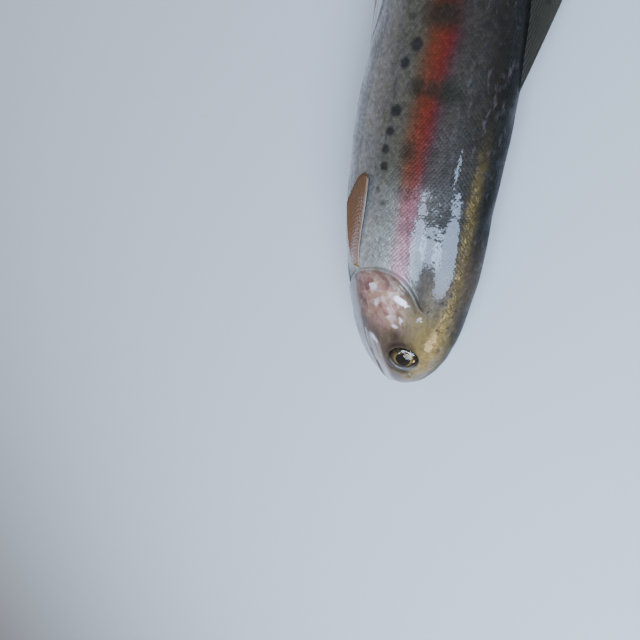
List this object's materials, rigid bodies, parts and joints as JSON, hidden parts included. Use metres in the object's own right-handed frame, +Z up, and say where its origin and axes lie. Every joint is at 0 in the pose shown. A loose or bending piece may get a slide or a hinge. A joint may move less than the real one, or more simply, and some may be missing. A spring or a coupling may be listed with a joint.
{
  "type": "rainbow trout",
  "caption": "Life-size rainbow trout lying on its left side, with drooping fins and a forked tail fin that rests flat behind it.",
  "frame": {"origin": "on the floor, under the middle of the fish's bounding box", "axes": "+X from tail to snout, +Y from belly to back, +Z up out of the right flank; the fish lies on its left side"},
  "size_m": [0.297, 0.0686, 0.037],
  "materials": {
    "olive_back": "wet, dark olive skin with a gold sheen",
    "cheek": "wet, iridescent pink and silver skin over thin bone",
    "flank": "wet, finely scaled, silvery olive with a red band",
    "fin": "wet membrane over fine rays",
    "eye": "polished, clear over a dark pupil"
  },
  "bodies": {
    "root": {"head": "olive_back", "trunk": "flank", "tail_stem": "flank", "lower_jaw": "cheek", "maxilla_left": "cheek", "maxilla_right": "cheek", "gill_cover_left": "cheek", "gill_cover_right": "cheek", "eye_left": "eye", "eye_right": "eye", "pectoral_fin_left": "fin", "pectoral_fin_right": "fin", "pelvic_fin_left": "fin", "pelvic_fin_right": "fin", "dorsal_fin": "fin", "adipose_fin": "fin", "anal_fin": "fin", "tail_fin": "fin"}
  },
  "joints": []
}
